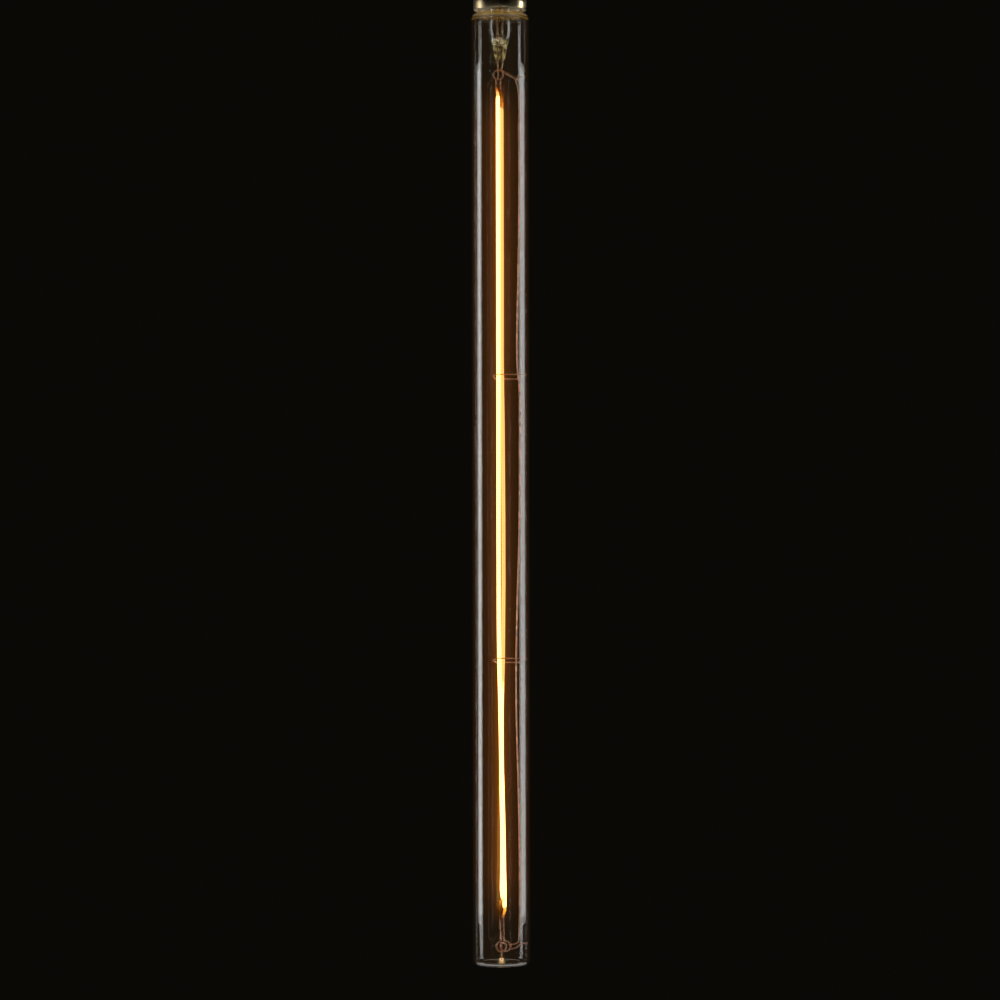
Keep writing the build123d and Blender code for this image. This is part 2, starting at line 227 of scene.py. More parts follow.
# Speckle: fine grains of a second tone, for moulded, fused and set materials
speckle, groupIn, groupOut = newGroup(
    "speckle",
    (("Ground", colour, (0.1, 0.1, 0.1, 1)), ("Grains", colour, (0.2, 0.2, 0.2, 1)), ("Scale", number, 900)),
    (("Colour", colour), ("Roughness", number), ("Height", number)))
place = speckle.nodes.new("ShaderNodeTexCoord").outputs["Object"]
grains = noise(speckle, place, groupIn.outputs["Scale"], 6)
clouds = noise(speckle, place, 160, 2)
tone = mixColour(
    speckle, mapRange(speckle, grains, 0.5, 0.72, 0, 1), groupIn.outputs["Ground"],
    groupIn.outputs["Grains"])
speckle.links.new(tone, groupOut.inputs["Colour"])
speckle.links.new(mapRange(speckle, clouds, 0.3, 0.7, 0.35, 0.6), groupOut.inputs["Roughness"])
speckle.links.new(grains, groupOut.inputs["Height"])

# Chip row: evenly spaced light chips under the strip's coat. They face one way, along Y, and the
# strip's other face glows amber through the coat. Below its turn a strip may face the other way.
chipRow, groupIn, groupOut = newGroup(
    "chipRow",
    (("Face", colour, (1, 0.5, 0.1, 1)), ("Rear", colour, (0.1, 0.05, 0.01, 1)), ("Side", number, -1),
     ("Side Below", number, -1), ("Turn", number, -0.36), ("First", number, -0.07), ("Last", number, -0.47),
     ("Pitch", number, 0.0016)),
    (("Colour", colour), ("Mask", number)))
coordinates = chipRow.nodes.new("ShaderNodeTexCoord")
height = splitPlace(chipRow, coordinates.outputs["Object"]).outputs["Z"]
wave = calculate(chipRow, "PINGPONG", calculate(chipRow, "DIVIDE", height, groupIn.outputs["Pitch"]), 0.5)
mask = mapRange(chipRow, wave, 0.1, 0.4, 0.8, 1)
aboveTurn = calculate(chipRow, "SUBTRACT", height, groupIn.outputs["Turn"])
above = mapRange(chipRow, aboveTurn, -0.008, 0.008, 0, 1)
step = calculate(chipRow, "SUBTRACT", groupIn.outputs["Side"], groupIn.outputs["Side Below"])
side = calculate(chipRow, "MULTIPLY_ADD", step, above, groupIn.outputs["Side Below"])
turned = splitPlace(chipRow, coordinates.outputs["Normal"])
facing = calculate(chipRow, "MULTIPLY", turned.outputs["Y"], side)
tone = mixColour(
    chipRow, mapRange(chipRow, facing, -0.1, 0.75, 0, 1), groupIn.outputs["Rear"], groupIn.outputs["Face"])
fromTop = calculate(chipRow, "SUBTRACT", groupIn.outputs["First"], height)
fromFoot = calculate(chipRow, "SUBTRACT", height, groupIn.outputs["Last"])
fromEnd = calculate(chipRow, "MINIMUM", fromTop, fromFoot)
level = calculate(chipRow, "MULTIPLY", mapRange(chipRow, fromEnd, 0, 0.0016, 0.1, 1), mask)
chips = addNode(chipRow, "ShaderNodeMix", data_type="RGBA", blend_type="MULTIPLY")
chips.inputs[0].default_value = 1
chipRow.links.new(tone, chips.inputs[6])
chipRow.links.new(level, chips.inputs[7])
chipRow.links.new(chips.outputs[2], groupOut.inputs["Colour"])
chipRow.links.new(mask, groupOut.inputs["Mask"])

# Haze: faint wisps in how clear the glass is
haze, groupIn, groupOut = newGroup("haze", (("Most", number, 0.02),), (("Roughness", number),))
place = haze.nodes.new("ShaderNodeTexCoord").outputs["Object"]
wisps = mapRange(haze, noise(haze, place, 60, 3, (1, 1, 0.2)), 0.35, 0.75, 0.4, 1)
haze.links.new(calculate(haze, "MULTIPLY", wisps, groupIn.outputs["Most"]), groupOut.inputs["Roughness"])

# Painted wall glow: emission in the glass stands in for the strips' light in it, stronger in front of them
# and behind them than beside them
paintedWallGlow, groupIn, groupOut = newGroup(
    "paintedWallGlow",
    (("Near", colour, (0.02, 0.006, 0.001, 1)), ("Far", colour, (0.006, 0.003, 0.001, 1)),
     ("Middle", number, -0.0005), ("Width", number, 0.003), ("First", number, -0.07), ("Last", number, -0.47),
     ("Fade", number, 0.012)),
    (("Colour", colour),))
place = paintedWallGlow.nodes.new("ShaderNodeTexCoord").outputs["Object"]
split = splitPlace(paintedWallGlow, place)
aside = calculate(
    paintedWallGlow, "DIVIDE", calculate(paintedWallGlow, "SUBTRACT", split.outputs["X"], groupIn.outputs["Middle"]),
    groupIn.outputs["Width"])
near = calculate(paintedWallGlow, "DIVIDE", 1.0, calculate(paintedWallGlow, "MULTIPLY_ADD", aside, aside, 1.0))
fromTop = calculate(paintedWallGlow, "SUBTRACT", groupIn.outputs["First"], split.outputs["Z"])
fromFoot = calculate(paintedWallGlow, "SUBTRACT", split.outputs["Z"], groupIn.outputs["Last"])
fromEnd = calculate(
    paintedWallGlow, "DIVIDE", calculate(paintedWallGlow, "MINIMUM", fromTop, fromFoot), groupIn.outputs["Fade"])
along = mapRange(paintedWallGlow, fromEnd, -1, 1, 0, 1)
uneven = mapRange(paintedWallGlow, noise(paintedWallGlow, place, 45, 3, (1, 1, 0.3)), 0.3, 0.7, 0.8, 1.1)
level = calculate(paintedWallGlow, "MULTIPLY", calculate(paintedWallGlow, "MULTIPLY", near, along), uneven)
paintedWallGlow.links.new(
    mixColour(paintedWallGlow, level, groupIn.outputs["Far"], groupIn.outputs["Near"]), groupOut.inputs["Colour"])

# Painted caught light: emission in a streaky band at one height stands in for the strips' light gathering in
# thick or flat glass
paintedCaughtLight, groupIn, groupOut = newGroup(
    "paintedCaughtLight",
    (("Light", colour, (0.1, 0.05, 0.01, 1)), ("Height", number, -0.03), ("Reach", number, 0.001),
     ("Outer", number, 0.0115), ("Streaks", number, 0.5), ("Scale", number, 400)),
    (("Colour", colour),))
place = paintedCaughtLight.nodes.new("ShaderNodeTexCoord").outputs["Object"]
split = splitPlace(paintedCaughtLight, place)
away = calculate(paintedCaughtLight, "SUBTRACT", split.outputs["Z"], groupIn.outputs["Height"])
away = calculate(paintedCaughtLight, "DIVIDE", calculate(paintedCaughtLight, "ABSOLUTE", away), groupIn.outputs["Reach"])
band = mapRange(paintedCaughtLight, away, 0.6, 1.0, 1, 0)
across = calculate(paintedCaughtLight, "MULTIPLY", split.outputs["X"], split.outputs["X"])
across = calculate(paintedCaughtLight, "MULTIPLY_ADD", split.outputs["Y"], split.outputs["Y"], across)
within = calculate(paintedCaughtLight, "LESS_THAN", calculate(paintedCaughtLight, "SQRT", across), groupIn.outputs["Outer"])
streaks = mapRange(paintedCaughtLight, noise(paintedCaughtLight, place, groupIn.outputs["Scale"], 3, (1, 1, 0.5)), 0.5, 0.62, 0, 1)
plain = calculate(paintedCaughtLight, "SUBTRACT", 1.0, groupIn.outputs["Streaks"])
uneven = calculate(paintedCaughtLight, "ADD", plain, calculate(paintedCaughtLight, "MULTIPLY", streaks, groupIn.outputs["Streaks"]))
level = calculate(paintedCaughtLight, "MULTIPLY", calculate(paintedCaughtLight, "MULTIPLY", band, within), uneven)
paintedCaughtLight.links.new(mixColour(paintedCaughtLight, level, black, groupIn.outputs["Light"]), groupOut.inputs["Colour"])

# Painted root glow: emission stands in for light from the strip's end that runs a little way along its tab
paintedRootGlow, groupIn, groupOut = newGroup(
    "paintedRootGlow",
    (("Root", number, -0.07), ("End", number, -0.066), ("Bright", colour, (1, 0.6, 0.15, 1)),
     ("Deep", colour, (0.6, 0.12, 0.01, 1))),
    (("Colour", colour),))
split = splitPlace(paintedRootGlow, paintedRootGlow.nodes.new("ShaderNodeTexCoord").outputs["Object"])
run = calculate(paintedRootGlow, "SUBTRACT", groupIn.outputs["End"], groupIn.outputs["Root"])
gone = calculate(paintedRootGlow, "SUBTRACT", split.outputs["Z"], groupIn.outputs["Root"])
gone = calculate(paintedRootGlow, "DIVIDE", gone, run)
near = mixColour(
    paintedRootGlow, mapRange(paintedRootGlow, gone, 0.05, 0.55, 0, 1), groupIn.outputs["Bright"], groupIn.outputs["Deep"])
paintedRootGlow.links.new(
    mixColour(paintedRootGlow, mapRange(paintedRootGlow, gone, 0.45, 1.0, 0, 1), near, black), groupOut.inputs["Colour"])
print("shader groups built")


# Materials

def newMaterial(name):
    material = bpy.data.materials.new(name)
    material.use_nodes = True
    tree = material.node_tree
    return material, tree, tree.nodes["Principled BSDF"]


def useGroup(tree, group, **values):
    node = addNode(tree, "ShaderNodeGroup", node_tree=group)
    for label, value in values.items():
        node.inputs[label].default_value = value
    return node


def linkFinish(tree, shader, finish, strength, distance):
    relief = addNode(tree, "ShaderNodeBump")
    relief.inputs["Strength"].default_value = strength
    relief.inputs["Distance"].default_value = distance
    tree.links.new(finish.outputs["Colour"], shader.inputs["Base Color"])
    tree.links.new(finish.outputs["Roughness"], shader.inputs["Roughness"])
    tree.links.new(finish.outputs["Height"], relief.inputs["Height"])
    tree.links.new(relief.outputs["Normal"], shader.inputs["Normal"])


def metalFinish(name, bright, dull, scale=300, bump=0.03, metallic=1.0):
    material, tree, shader = newMaterial(name)
    finish = useGroup(tree, drawnMetal, Bright=(*bright, 1), Dull=(*dull, 1), Scale=scale)
    linkFinish(tree, shader, finish, bump, 0.0001)
    shader.inputs["Metallic"].default_value = metallic
    return material


def speckledFinish(name, ground, grains, scale=900, bump=0.1):
    material, tree, shader = newMaterial(name)
    finish = useGroup(tree, speckle, Ground=(*ground, 1), Grains=(*grains, 1), Scale=scale)
    linkFinish(tree, shader, finish, bump, 0.0002)
    return material


# Clear glass lets the lamps' light through to what is inside it. The glows given are painted light: emission
# on the glass that stands in for the strips' light in it
def glassFinish(name, tint, most, paintedGlows):
    material, tree, shader = newMaterial(name)
    skin = useGroup(tree, haze, Most=most)
    tree.links.new(skin.outputs["Roughness"], shader.inputs["Roughness"])
    shader.inputs["Base Color"].default_value = (*tint, 1)
    shader.inputs["Transmission Weight"].default_value = 1
    shader.inputs["IOR"].default_value = 1.5
    light = None
    # Painted light: each glow's colour is added into the glass's emission
    for group, values in paintedGlows:
        part = useGroup(tree, group, **values).outputs["Colour"]
        if light:
            both = addNode(tree, "ShaderNodeMix", data_type="RGBA", blend_type="ADD")
            both.inputs[0].default_value = 1
            tree.links.new(light, both.inputs[6])
            tree.links.new(part, both.inputs[7])
            part = both.outputs[2]
        light = part
    if light:
        tree.links.new(light, shader.inputs["Emission Color"])
        shader.inputs["Emission Strength"].default_value = 1
    through = addNode(tree, "ShaderNodeBsdfTransparent")
    through.inputs["Color"].default_value = (*tint, 1)
    rays = addNode(tree, "ShaderNodeLightPath")
    choose = addNode(tree, "ShaderNodeMixShader")
    tree.links.new(rays.outputs["Is Shadow Ray"], choose.inputs[0])
    tree.links.new(shader.outputs[0], choose.inputs[1])
    tree.links.new(through.outputs[0], choose.inputs[2])
    tree.links.new(choose.outputs[0], tree.nodes["Material Output"].inputs["Surface"])
    return material


def litFinish(strip):
    material, tree, shader = newMaterial(strip["name"])
    face, rear = [(*glow[part], 1) for part in ("face", "rear")]
    row = useGroup(
        tree, chipRow, Face=face, Rear=rear, Side=strip["side"], **{"Side Below": strip["sideBelow"]},
        Turn=glow["turn"], First=strip["places"][0][1] * mm, Last=strip["places"][-1][1] * mm)
    tree.links.new(row.outputs["Colour"], shader.inputs["Emission Color"])
    coat = mixColour(tree, row.outputs["Mask"], (0.72, 0.42, 0.10, 1), (0.86, 0.62, 0.22, 1))
    tree.links.new(coat, shader.inputs["Base Color"])
    shader.inputs["Emission Strength"].default_value = glow["strength"]
    shader.inputs["Roughness"].default_value = 0.4
    return material


# A tab's metal, with painted light from its root: emission stands in for the strip's light along it
def tabFinish(tab):
    material = metalFinish(tab["node"], (0.86, 0.48, 0.26), (0.60, 0.26, 0.12))
    tree = material.node_tree
    paintedTabLight = useGroup(
        tree, paintedRootGlow, Root=tab["root"] * mm, End=tab["end"] * mm, Bright=(*tab["bright"], 1),
        Deep=(*tab["deep"], 1))
    shader = tree.nodes["Principled BSDF"]
    tree.links.new(paintedTabLight.outputs["Colour"], shader.inputs["Emission Color"])
    shader.inputs["Emission Strength"].default_value = 1
    return material


# Painted light on the tube: a glow on the wall by the strips, caught light under the shoulder and in the
# pin's nipple
tubeGlass = glassFinish("tubeGlass", (0.99, 0.985, 0.965), 0.02, (
    (paintedWallGlow, {
        "Near": (0.052, 0.0135, 0.0006, 1), "Far": (0.0022, 0.0012, 0.0004, 1), "Width": 0.0027,
        "First": -0.074, "Last": -0.468}),
    (paintedCaughtLight, {
        "Light": (0.13, 0.07, 0.004, 1), "Height": -0.0312, "Reach": 0.0020, "Outer": 0.0109, "Streaks": 0.35,
        "Scale": 260}),
    (paintedCaughtLight, {
        "Light": (0.9, 0.55, 0.16, 1), "Height": -0.4981, "Reach": 0.0018, "Outer": 0.0014, "Streaks": 0.8,
        "Scale": 1200})))
# Painted light in the stem: caught light in its round end and in its press
stemGlass = glassFinish("stemGlass", (0.97, 0.965, 0.93), 0.05, (
    (paintedCaughtLight, {
        "Light": (0.42, 0.38, 0.17, 1), "Height": -0.0446, "Reach": 0.0010, "Outer": 0.0050, "Streaks": 1.0,
        "Scale": 700}),
    (paintedCaughtLight, {
        "Light": (0.17, 0.135, 0.045, 1), "Height": -0.0492, "Reach": 0.0042, "Outer": 0.0040, "Streaks": 1.0,
        "Scale": 900})))
exhaustGlass = glassFinish("exhaustGlass", (0.97, 0.965, 0.93), 0.05, ())
frameWire = metalFinish("frameWire", (0.95, 0.60, 0.44), (0.74, 0.36, 0.22), metallic=0.7)
leadWire = metalFinish("leadWire", (0.78, 0.50, 0.30), (0.50, 0.27, 0.13))
capMetal = metalFinish("capMetal", (0.83, 0.71, 0.45), (0.66, 0.52, 0.28), scale=120)
contactMetal = metalFinish("contactMetal", (0.84, 0.72, 0.46), (0.70, 0.56, 0.32), scale=200)
solderMetal = metalFinish("solderMetal", (0.74, 0.74, 0.75), (0.52, 0.52, 0.53), scale=260, bump=0.2)
capGlass = speckledFinish("capGlass", (0.020, 0.020, 0.022), (0.05, 0.05, 0.055), scale=500)
cementFinish = speckledFinish("cementFinish", (0.58, 0.53, 0.45), (0.74, 0.70, 0.62), bump=0.4)
boardFinish = speckledFinish("boardFinish", (0.03, 0.20, 0.08), (0.06, 0.30, 0.13), scale=1400)
blockFinish = speckledFinish("blockFinish", (0.02, 0.02, 0.022), (0.05, 0.05, 0.05), scale=1600)
canFinish = speckledFinish("canFinish", (0.03, 0.035, 0.07), (0.06, 0.07, 0.12), scale=700)
fuseFinish = speckledFinish("fuseFinish", (0.14, 0.33, 0.24), (0.22, 0.44, 0.34), scale=1200)
print("materials built")


# Glass tube: pulled up the outside to the neck's rim, then down the inside to the pin's socket
tube = {
    "name": "glassTube", "sides": 128, "radius": 14.0, "wall": 1.0, "foot": -500.0, "dish": 0.5,
    "shoulder": -30.2, "shoulderWall": 1.9, "round": 2.6, "innerRound": 1.6, "neckRound": 0.8,
    "throatRound": 1.2, "neck": 11.2, "rim": -22.0, "socket": 1.1, "socketTop": -496.8}


def glassTube():
    r, wall, foot, shoulder = tube["radius"], tube["wall"], tube["foot"], tube["shoulder"]
    neck, rim, dish = tube["neck"], tube["rim"], tube["dish"]
    below = shoulder - tube["shoulderWall"]
    outline = (
        (1.5, foot + dish), (r - tube["round"], foot + 0.05), (r, foot), (r, foot + 30), (r, shoulder - 30),
        (r, shoulder), (neck, shoulder), (neck, rim), (neck - wall, rim), (neck - wall, below),
        (r - wall, below), (r - wall, shoulder - 31), (r - wall, foot + 31), (r - wall, foot + wall),
        (tube["socket"] + 0.9, foot + wall + dish), (tube["socket"], foot + wall + dish + 0.5),
        (tube["socket"] * 0.9, tube["socketTop"]))
    form = pullForm(tube["name"], tube["sides"], turnedStations(outline))
    for height in (foot, shoulder):
        roundRing(form, r, height, tube["round"], 8)
    for height in (foot + wall, below):
        roundRing(form, r - wall, height, tube["innerRound"], 6)
    roundRing(form, neck, shoulder, tube["neckRound"], 4)
    roundRing(form, neck - wall, below, tube["throatRound"], 4)
    smoothUnder(form, 40)
    finishPiece(form, tubeGlass, "glass_tube")


glassTube()
print("glass tube done")


# Stem: flared rim, straight tube, round end and the flat press, one closed skin
stem = {
    "name": "glassStem", "sides": 64, "rim": -21.1, "flare": 11.2, "radius": 5.7, "wall": 0.9,
    "round": -39.0, "pressTop": -46.2, "pressFoot": -53.1, "turn": 32.0, "ribs": 8, "swell": 0.05,
    "flat": 0.82}


def glassStem():
    r, wall, rim, flare = stem["radius"], stem["wall"], stem["rim"], stem["flare"]
    end, top, foot = stem["round"], stem["pressTop"], stem["pressFoot"]
    inner, outer = r - wall, r
    stations = turnedStations((
        (0.9, end - 1.8), (1.45, end - 1.8), (1.6, end - 3.4), (2.1, end - 4.4), (2.7, end - 4.5),
        (3.4, end - 3.9), (4.1, end - 2.6), (4.6, end - 1.0), (inner, end + 0.6), (inner, rim - 4.0),
        (inner + 0.25, rim - 2.2), (inner + 0.9, rim - 0.9), (inner + 2.2, rim - 0.15), (inner + 3.4, rim),
        (flare, rim), (flare, rim - 0.9), (outer + 3.4, rim - 0.9), (outer + 2.2, rim - 1.1),
        (outer + 0.9, rim - 2.0), (outer + 0.2, rim - 3.6), (outer, rim - 5.0), (outer, end),
        (5.5, end - 1.5)))
    stations += [
        (0, 0, end - 2.8, 5.1, 5.0), (0, 0, end - 4.0, 4.75, 4.2), (0, 0, end - 5.2, 4.4, 3.2),
        (0, 0, end - 6.2, 4.1, 2.3), (0, 0, top, 3.8, 1.75)]
    for rib in range(1, stem["ribs"] + 1):
        share = rib / (stem["ribs"] + 1)
        swell = 1 + stem["swell"] * (1 if rib % 2 else -1)
        height = top + (foot + 0.5 - top) * share
        stations.append((0, 0, height, (3.8 - 0.85 * share) * swell, 1.75 - 0.6 * share))
    stations += [(0, 0, foot + 0.5, 2.9, 1.15), (0, 0, foot, 2.3, 0.8)]
    form = pullForm(stem["name"], stem["sides"], stations)
    flat = stem["flat"]  # share of the press's half depth at which its two sides are flat
    for point in form.data.vertices:
        place = point.co / mm
        if place.z < end - 3.5 and math.hypot(place.x, place.y) > 0.1:
            depth = max(abs(p.co.y) for p in form.data.vertices if abs(p.co.z - point.co.z) < 1e-5)
            point.co.y = max(-depth * flat, min(depth * flat, point.co.y)) / flat
    selectOnly(form)
    form.rotation_euler.z = math.radians(stem["turn"])
    bpy.ops.object.transform_apply(location=True, rotation=True, scale=True)
    smoothUnder(form, 50)
    finishPiece(form, stemGlass, "glass_stem")


exhaust = {"name": "exhaustTube", "radius": 1.35, "bore": 0.85, "foot": -40.8, "tip": -19.2}


def exhaustTube():
    r, bore, foot, tip = exhaust["radius"], exhaust["bore"], exhaust["foot"], exhaust["tip"]
    form = pullForm(exhaust["name"], 32, turnedStations((
        (0.2, tip - 1.35), (bore, tip - 2.0), (bore, foot), (r, foot), (r, tip - 1.35), (r * 0.92, tip - 0.8),
        (r * 0.7, tip - 0.35), (r * 0.3, tip))))
    smoothUnder(form, 40)
    finishPiece(form, exhaustGlass, "exhaust_tube")


glassStem()
exhaustTube()
print("stem done")


# Wires

# A round turn of wire, which may be turned about the lamp's axis and drift in depth
def ringPoints(x, z, radius, first, last, drift=0, turn=0, depth=0):
    places = []
    steps = 12
    across = radius * math.cos(math.radians(turn))
    deep = -radius * math.sin(math.radians(turn))
    for step in range(steps + 1):
        share = step / steps
        angle = math.radians(first + (last - first) * share)
        places.append((
            x + across * math.cos(angle), depth + deep * math.cos(angle) + drift * (share - 0.5),
            z + radius * math.sin(angle)))
    return places


# A wire's end wound round another wire
def wrapPoints(start, end, radius, turns):
    places = []
    steps = turns * 8
    for step in range(steps + 1):
        share = step / steps
        x, y, z = [a + (b - a) * share for a, b in zip(start, end)]
        angle = 2 * math.pi * turns * share
        places.append((x, y + radius * math.cos(angle), z + radius * math.sin(angle)))
    return places


# From the glass past the front of the strips, round their left side and back behind them
eye = {"glass": 12.88, "end": 8.9, "start": -2.4, "left": -3.5, "depth": 1.475, "rise": 1.05}


def stripEye(height):
    depth, rise, start, left = eye["depth"], eye["rise"], eye["start"], eye["left"]
    top, foot = height + rise, height - rise
    return (
        (eye["glass"], -depth, top), (0, -depth, top), (start, -depth, top), (left, -depth / 2, height + 0.5),
        (left, depth / 2, height - 0.5), (start, depth, foot), (0, depth, foot), (eye["end"], depth, foot))


wires = (
    {"name": "leadToHanger", "node": "lead_wire_hanger", "thickness": 0.7, "smoothness": 8, "points": (
        (-1.25, -1.295, -15.6), (-1.25, -1.295, -30), (-1.25, -1.295, -53.2), (-1.25, -1.295, -54.7),
        (-0.9, -0.7, -57.2), (-0.9, -0.7, -63.1))},
    {"name": "leadToReturn", "node": "lead_wire_return", "thickness": 0.7, "smoothness": 8, "points": (
        (1.25, 1.295, -15.6), (1.25, 1.295, -30), (1.25, 1.295, -53.2), (1.25, 1.295, -54.7),
        (0.6, 1.4, -57.4), (1.6, 1.4, -58.6), *wrapPoints((2.0, 1.6, -59.0), (8.6, 1.7, -62.3), 0.75, 6))},
    {"name": "springHanger", "node": "spring_hanger", "thickness": 0.7, "smoothness": 6, "points": (
        (0.1, 0, -67.6), (0.1, 0, -63.2), *ringPoints(-0.9, -60.4, 2.44, -65.4, 245.4),
        (-1.9, 0, -63.2), (-1.9, 0, -67.6))},
    {"name": "returnWire", "node": "return_wire", "thickness": 0.7, "smoothness": 16, "points": (
        (12.75, 2.1, -61.0), (8.9, 2.1, -61.0), (7.5, 2.1, -62.7), (9.4, 2.1, -67.0), (9.8, 2.1, -84.0),
        (9.5, 2.1, -122.0), (8.8, 2.1, -162.0), (7.8, 2.1, -203.0), (9.9, 2.1, -217.0), (9.6, 2.1, -246.0),
        (9.2, 2.1, -290.0), (7.9, 2.1, -325.0), (7.2, 2.1, -369.0), (8.7, 2.1, -418.0), (9.1, 2.1, -450.0),
        (9.0, 2.1, -487.0), (8.0, 1.125, -490.2), (3.45, 1.125, -490.2))},
    {"name": "stripEyeUpper", "node": "strip_eye_upper", "thickness": 0.55, "smoothness": 8,
     "points": stripEye(-209.6)},
    {"name": "stripEyeLower", "node": "strip_eye_lower", "thickness": 0.55, "smoothness": 8,
     "points": stripEye(-349.7)},
    {"name": "footCoil", "node": "foot_coil", "thickness": 0.9, "smoothness": 6, "points": (
        (-0.5, 0, -476.2), (-0.35, 0, -482.0), (-0.25, -0.3, -487.4),
        *ringPoints(-0.1, -491.0, 2.55, 100, 395, 0.4, 14, -1.0),
        *ringPoints(2.0, -491.0, 2.55, 135, 465, 0.4, 14, 1.0), (1.0, 0.4, -487.0), (0.9, 0, -482.0),
        (0.75, 0, -476.2))},
    {"name": "footSpacer", "node": "foot_spacer", "thickness": 0.7, "smoothness": 8, "points": (
        (3.45, -0.375, -492.2), (7.05, -0.375, -492.2), (9.15, -0.375, -489.4), (12.95, -0.375, -489.4))},
)
for wire in wires:
    isLead = wire["node"].startswith("lead")
    finishPiece(bendWire(wire), leadWire if isLead else frameWire, wire["node"])
print("wires done:", len(wires))


# Light strips: a rounded bar in its coat, with closed round ends. Each place is x and z.
glow = {
    "strength": 8.0, "face": (1.0, 0.42, 0.106), "rear": (0.145, 0.085, 0.024), "turn": -0.3604, "wide": 0.92,
    "deep": 0.45}
strips = (
    {"name": "lightStripFront", "node": "light_strip_front", "depth": -0.5, "side": -1, "sideBelow": -1,
     "places": (
         (-1.1, -70.4), (-1.1, -180.0), (-1.12, -290.0), (-1.1, -330.0), (-0.95, -350.0), (-0.6, -364.0),
         (-0.4, -374.0), (-0.1, -394.0), (0.1, -413.0), (0.35, -430.0), (0.4, -440.0), (0.3, -455.0),
         (0.15, -463.0), (0.55, -468.1))},
    {"name": "lightStripBack", "node": "light_strip_back", "depth": 0.5, "side": 1, "sideBelow": -1,
     "places": (
         (0.7, -76.0), (0.68, -150.0), (0.6, -200.0), (1.0, -234.0), (1.28, -280.0), (1.3, -310.0),
         (0.95, -348.0), (0.75, -356.0), (0.42, -366.0), (0.22, -374.0), (0.22, -394.0), (0.32, -404.0),
         (0.6, -414.0), (1.15, -440.0), (1.28, -453.0), (1.5, -463.0), (1.5, -472.5))},
)


def lightStrip(strip):
    wide, deep = glow["wide"], glow["deep"]
    (firstX, firstZ), (lastX, lastZ) = strip["places"][0], strip["places"][-1]
    depth = strip["depth"]
    # A round end: how far in from the tip, then shares of the half width and half depth
    ends = ((0, 0.45, 0.4), (0.5, 0.8, 0.8), (1.5, 1, 1))
    stations = [(firstX, depth, firstZ - run, wide * a, deep * b) for run, a, b in ends]
    stations += [(x, depth, z, wide, deep) for x, z in strip["places"][1:-1]]
    stations += [(lastX, depth, lastZ + run, wide * a, deep * b) for run, a, b in reversed(ends)]
    form = pullForm(strip["name"], 24, stations)
    smoothUnder(form, 60)
    finishPiece(form, litFinish(strip), strip["node"])


for strip in strips:
    lightStrip(strip)
print("light strips done")


# Cap shell: pulled up the outside, over the lip and down the inside, then the thread is pressed in
cap = {
    "name": "capShell", "sides": 96, "wall": 0.35, "foot": -28.6, "collar": 13.15, "collarTop": -20.6,
    "crest": 13.15, "depth": 1.1, "pitch": 3.629, "barrelTop": -10.3, "lip": 9.75, "top": -6.9}


def capShell():
    wall, foot, collar, crest = cap["wall"], cap["foot"], cap["collar"], cap["crest"]
    collarTop, barrelTop, lip, top = cap["collarTop"], cap["barrelTop"], cap["lip"], cap["top"]
    middle = crest - cap["depth"] / 2
    rows = 40
    barrel = [(middle, collarTop - 0.5 + (barrelTop - collarTop + 1.2) * n / rows) for n in range(rows + 1)]
    dome = [(middle - 0.35, barrelTop + 1.3), (middle - 1.0, barrelTop + 2.2), (lip + 0.9, top - 0.15)]
    outside = [(collar - 0.15, foot), (collar, foot + 0.15), (collar, collarTop - 1.0)]
    outside += [(collar - 0.25, collarTop - 0.7), *barrel, *dome, (lip, top)]
    inside = [(r - wall, z - wall * 0.3) for r, z in reversed(outside[1:-1])] + [(collar - wall, foot)]
    form = pullForm(cap["name"], cap["sides"], turnedStations(outside + [(lip, top - wall)] + inside))
    # The first and last faces are taken out, and the two open rings at the foot are joined to a rim
    bpy.ops.object.mode_set(mode="EDIT")
    bpy.ops.mesh.select_mode(type="FACE")
    bpy.ops.mesh.select_all(action="DESELECT")
    bpy.ops.object.mode_set(mode="OBJECT")
    for face in form.data.polygons:
        face.select = len(face.vertices) == cap["sides"]
    bpy.ops.object.mode_set(mode="EDIT")
    bpy.ops.mesh.delete(type="ONLY_FACE")
    bpy.ops.mesh.select_mode(type="EDGE")
    bpy.ops.mesh.select_non_manifold(extend=False)
    bpy.ops.mesh.bridge_edge_loops()
    bpy.ops.mesh.select_all(action="SELECT")
    bpy.ops.mesh.normals_make_consistent(inside=False)
    bpy.ops.object.mode_set(mode="OBJECT")
    # The thread fades in above the collar and out below the dome
    for point in form.data.vertices:
        x, y, z = point.co / mm
        low = min(1, max(0, (z - collarTop) / 1.2))
        high = min(1, max(0, (barrelTop + 1.6 - z) / 1.6))
        if low * high > 0:
            phase = 2 * math.pi * z / cap["pitch"] - math.atan2(y, x)
            r = math.hypot(x, y)
            grown = r + cap["depth"] / 2 * math.cos(phase) * low * high
            point.co.x *= grown / r
            point.co.y *= grown / r
    smoothUnder(form, 60)
    finishPiece(form, capMetal, "cap_shell")


